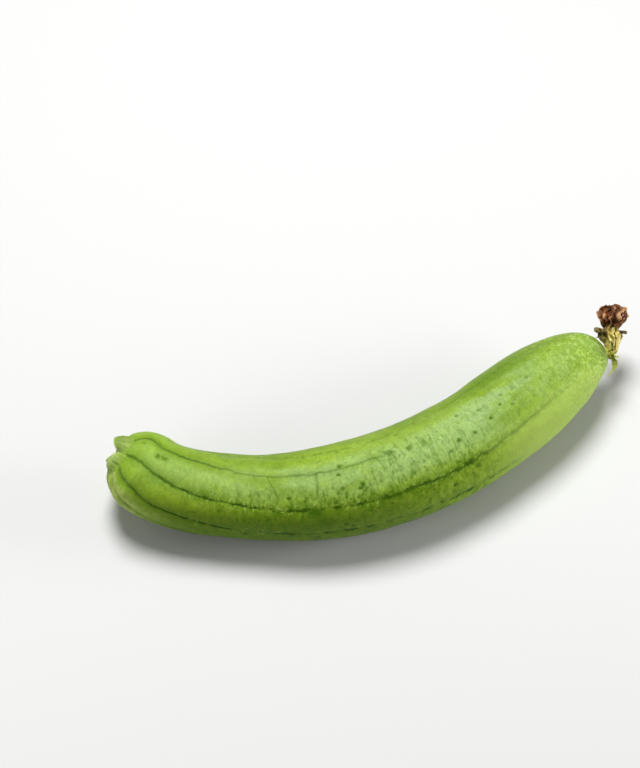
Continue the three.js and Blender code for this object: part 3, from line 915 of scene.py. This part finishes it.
sepal_leaf = sepal_finish()
across_grid, down_grid, sepal_chart = sheet_grids(*SEPAL_GRID)
for which in range(5):
    blade = shell(sepal_middle(which, across_grid, down_grid), SEPAL_THICKNESS * MM)
    sepal_mesh = lay_mesh("sepal_blade", blade, sepal_chart)
    finished_piece(f"sepal_blade_{which + 1}", sepal_mesh, sepal_leaf, [f"sepal_{which + 1}"])


# ---- Petals ----
# The withered corolla, still fixed in the cup. Five thin petals, yellow at their claws, rise and
# turn back over the fruit. Three of them have shrunk together into a brown, folded, rounded tuft.
# The two short ones curl outwards beside it as a ragged grey-brown fringe.

FLOWER_PATH = MM * np.array([
    (145.4, 31.2, 26.9), (147.0, 31.8, 27.1), (147.8, 34.0, 28.8), (148.4, 38.9, 32.4),
    (150.4, 45.0, 37.0), (152.9, 52.5, 41.8),
])
FLOWER_LENGTH = 28.1
TUFT_PROFILE = (
    (0.6, 1.9), (2.6, 3.5), (5.4, 4.6), (8.4, 5.3), (11.0, 5.5), (13.5, 5.2), (15.8, 4.9), (17.8, 6.2),
    (20.4, 7.5), (23.6, 7.8), (26.4, 6.8), (28.3, 4.7), (28.4, 2.9), (26.8, 1.9),
)
FRINGE_PROFILE = (
    (0.6, 2.1), (2.4, 3.2), (4.8, 4.0), (7.0, 4.6), (9.0, 5.3), (11.0, 6.0), (12.8, 6.7), (13.9, 7.4),
    (13.9, 8.2), (13.1, 8.7), (12.2, 8.9),
)
TUFT_WIDTHS = (30, 34, 38, 44, 50, 58, 66, 66, 58)
FRINGE_WIDTHS = (30, 34, 36, 38, 40, 42, 44, 42, 34)
FRINGE_PETALS = (0, 3)
PETAL_ANGLES = np.radians([8, 66, 154, 212, 288])
PETAL_THICKNESS = 0.22
PETAL_GRID = (150, 71)


def petal_middle(which, across, down):
    """Places on the middle sheet of a petal, in metres, and how far its folds stand out, in mm.

    A profile gives the distance along the flower and away from its axis, and a list gives the
    half-width as an angle. Pleats run its length, and bumpy fields of several sizes, which grow
    away from the claw, crumple it outwards, sideways and lengthwise. The far margin is torn.
    """
    fringe = which in FRINGE_PETALS
    profile = np.array(FRINGE_PROFILE if fringe else TUFT_PROFILE)
    widths = np.array(FRINGE_WIDTHS if fringe else TUFT_WIDTHS, float)
    margin = np.stack([3 * across, 0 * down, 7.0 * which + 0 * down], -1)
    torn = ripple(margin, (0.045, 1.6, 41), (0.03, 0.5, 42))
    reached = np.clip(down * (0.95 + torn * ease(0.4, 1.0, down)), 0, 1)
    spots = through(profile, reached.ravel()).reshape(*down.shape, 2)
    ahead, away = spots[..., 0], spots[..., 1]
    half = np.radians(through(widths[:, None], reached.ravel()).reshape(down.shape))
    angle = PETAL_ANGLES[which] + across * half + 0.5 * ease(0.3, 1.0, reached)
    flat = np.stack([away * np.cos(angle), away * np.sin(angle), ahead], -1) + 20.0 * which
    loose = ease(0.12, 0.55, reached)
    pleat = np.sin(np.pi * (1.6 + 2.6 * loose) * across + ripple(flat, (2.0, 12, 43)) + which)
    folds = (0.45 + 0.75 * loose) * pleat + ripple(flat, (0.16, 3.0, 52), (0.05, 0.9, 47))
    folds += loose * ripple(flat, (0.90, 9.5, 44), (0.52, 4.6, 45), (0.22, 2.2, 46))
    away = away + folds - 0.35 * (which % 3)
    ahead = ahead + loose * ripple(flat, (0.7, 7.0, 48), (0.35, 2.6, 49))
    angle = angle + loose * ripple(flat, (0.16, 6.5, 50), (0.05, 2.2, 51))
    away = np.maximum(away, 0.5)
    centre, along, side, top, _ = curve_frame(FLOWER_PATH, np.clip(ahead / FLOWER_LENGTH, 0, 1))
    beyond = np.maximum(ahead - FLOWER_LENGTH, 0)
    return centre + MM * (away[..., None] * spokes(angle, side, top) + beyond[..., None] * along), folds


def petal_finish(name, deep, light, raised, hollow):
    """Yellow claws turning to dry crumpled skin, with a painted highlight on the folds that stand out and
    painted shade between.
    """
    finish, tree = new_finish(name)
    place = own_place(tree)
    folds = node(tree, "Attribute", {}, output="Fac", attribute_name="folds")
    nerves, _, down = nerve_lines(tree, 3.5, detail=3, roughness=0.6, warp=0.4)
    blotch = cloud(place, 260, detail=4, roughness=0.6, warp=0.5)
    fine = cloud(place, 1500, detail=3, roughness=0.6)
    # the claw is darker in the hollows of its folds: painted shade
    claw = painted(
        "C9B654", (rise(nerves, 0.35, 0.65), "EADB90"), (fall(folds, -0.9, 0.1, most=0.5), "A39030"),
        (rise(down, 0.32, 0.5, most=0.75), "8C7E44"),
    )
    # painted highlight on the folds that stand out, painted shade between them, and dark nerves
    skin = painted(
        deep, (rise(blotch, 0.4, 0.62), light), (rise(folds, 0.9, 2.8, most=0.85), raised),
        (fall(folds, -2.4, -0.2, most=0.9), hollow), (rise(nerves, 0.56, 0.7, most=0.4), hollow),
    )
    withered = added(down, rise(blotch, 0.3, 0.7, least=-0.08, most=0.08))
    colour = painted(claw, (rise(withered, 0.43, 0.56), skin))
    height = added(times(fine, 0.5), nerves)
    return dressed(finish, colour, 0.62, gloss=0.3, height=height, strength=0.7, depth=0.25)


# each finish: a deep and a light tint, a painted highlight for raised folds, and a painted shade for hollows
# that also colours the nerves
tuft_skin = petal_finish("withered_tuft", "4F290C", "7A4416", "D9A878", "2A1407")
fringe_skin = petal_finish("withered_fringe", "5C4E22", "857442", "B9A878", "332A12")
across_grid, down_grid, petal_chart = sheet_grids(*PETAL_GRID)
for which in range(5):
    middle, folds = petal_middle(which, across_grid, down_grid)
    petal_mesh = lay_mesh("petal_skin", shell(middle, PETAL_THICKNESS * MM), petal_chart)
    both_faces = np.hstack([folds, folds[:, ::-1]]).astype(np.float32)
    petal_mesh.attributes.new("folds", "FLOAT", "POINT").data.foreach_set("value", both_faces.ravel())
    petal_skin = fringe_skin if which in FRINGE_PETALS else tuft_skin
    finished_piece(f"dry_petal_{which + 1}", petal_mesh, petal_skin, [f"petal_{which + 1}"])


# ---- Style ----
# The withered rod in the middle of the flower, rooted in the cup and ending in a three-lobed knob
# inside the tuft. It is dried dark brown and wrinkled lengthwise.

STYLE_PROFILE = (
    (0.0, 0.9), (3.0, 0.95), (7.0, 0.85), (12.0, 0.8), (17.0, 0.85), (19.5, 1.2), (21.5, 1.8),
    (23.0, 1.9), (23.8, 1.3), (23.9, 0.1),
)
STYLE_GRID = (90, 48)


def style_side(turn, step):
    """Places on the style: turn goes round it, and step from its root to the top of the knob.

    A turned profile along the flower's axis, with twelve fine wrinkles and three lobes on the knob.
    """
    spots = through(np.array(STYLE_PROFILE), step[:, 0])
    centre, _, side, top, _ = curve_frame(FLOWER_PATH, spots[:, 0] / FLOWER_LENGTH)
    knob = ease(17, 22, spots[:, :1])
    flat = np.stack([2 * np.cos(turn), 2 * np.sin(turn), spots[:, :1] + 0 * turn], -1)
    uneven = 0.25 * knob * np.cos(3 * turn) + 0.06 * np.sin(12 * turn) + ripple(flat, (0.10, 2.5, 61))
    away = spots[:, 1:] * (1 + uneven)
    return centre[:, None] + MM * away[..., None] * spokes(turn, side[:, None], top[:, None])


style_mesh = turned_mesh("style_rod", style_side, STYLE_GRID)
style_skin = calyx_finish("style", "4A2A10", "7A4A20", "A87A48")
finished_piece("dry_style", style_mesh, style_skin, ["style"])


# ---- Hairs ----
# The pale bristles of a fresh gourd. They stand out from the rind round the blossom end, thickest
# beside the flower, and a few grow round the stalk end. Each is a thin spike, and they are one mesh.

HAIR_COUNT = 1500
HAIR_LENGTHS = (0.5, 1.7)
HAIR_THICKNESS = 0.045
HAIR_SINK = 0.1
HAIR_LEAN = 0.45
HAIR_SLANT = 0.35
AT_BLOSSOM = 0.8
BLOSSOM_REACH = 0.16
STALK_REACH = 0.10

draw = np.random.default_rng(71)
at_blossom = draw.random(HAIR_COUNT) < AT_BLOSSOM
near_flower = 1 - BLOSSOM_REACH * draw.random(HAIR_COUNT) ** 1.7
hair_share = np.where(at_blossom, near_flower, 0.004 + STALK_REACH * draw.random(HAIR_COUNT))
hair_rib = draw.uniform(0, RIBS, HAIR_COUNT)
row = np.clip(np.searchsorted(share_line, hair_share), 2, FRUIT_ROWS - 1)
column = np.clip(np.searchsorted(rib_line, hair_rib), 1, len(rib_line) - 1)
root = skin_places[row, column]
down_slope = skin_places[row + 1, column] - skin_places[row - 1, column]
across_slope = root - skin_places[row, column - 1]
upright = unit(np.cross(across_slope, down_slope))
upright *= np.sign((upright * (root - curve_frame(FRUIT_PATH, hair_share)[0])).sum(1))[:, None]
lean = draw.normal(0, HAIR_LEAN, (HAIR_COUNT, 3)) + HAIR_SLANT * unit(down_slope)
heading = unit(upright + lean)
hair_length = MM * draw.uniform(*HAIR_LENGTHS, (HAIR_COUNT, 1))
beside = unit(np.cross(heading, upright + 0.1))
ring = spokes(2 * np.pi * np.arange(3) / 3, beside[:, None], np.cross(heading, beside)[:, None])
feet = root[:, None] - HAIR_SINK * MM * upright[:, None] + HAIR_THICKNESS * MM * ring
tips = root + hair_length * heading
hair_points = np.concatenate([feet, tips[:, None]], 1).reshape(-1, 3)
base = 4 * np.arange(HAIR_COUNT)[:, None, None]
hair_faces = (base + np.array([(0, 1, 3), (1, 2, 3), (2, 0, 3), (2, 1, 0)])).reshape(-1, 3)
hair_mesh = bpy.data.meshes.new("hairs")
hair_mesh.from_pydata(hair_points.tolist(), [], hair_faces.tolist())


def hair_finish():
    """Pale straw-green, lighter in patches."""
    finish, tree = new_finish("hair")
    blotch = cloud(own_place(tree), 200)
    return dressed(finish, painted("C2D08A", (rise(blotch, 0.35, 0.65), "E6EBC4")), 0.6, gloss=0.3)


finished_piece("hairs", hair_mesh, hair_finish(), ["fruit"])
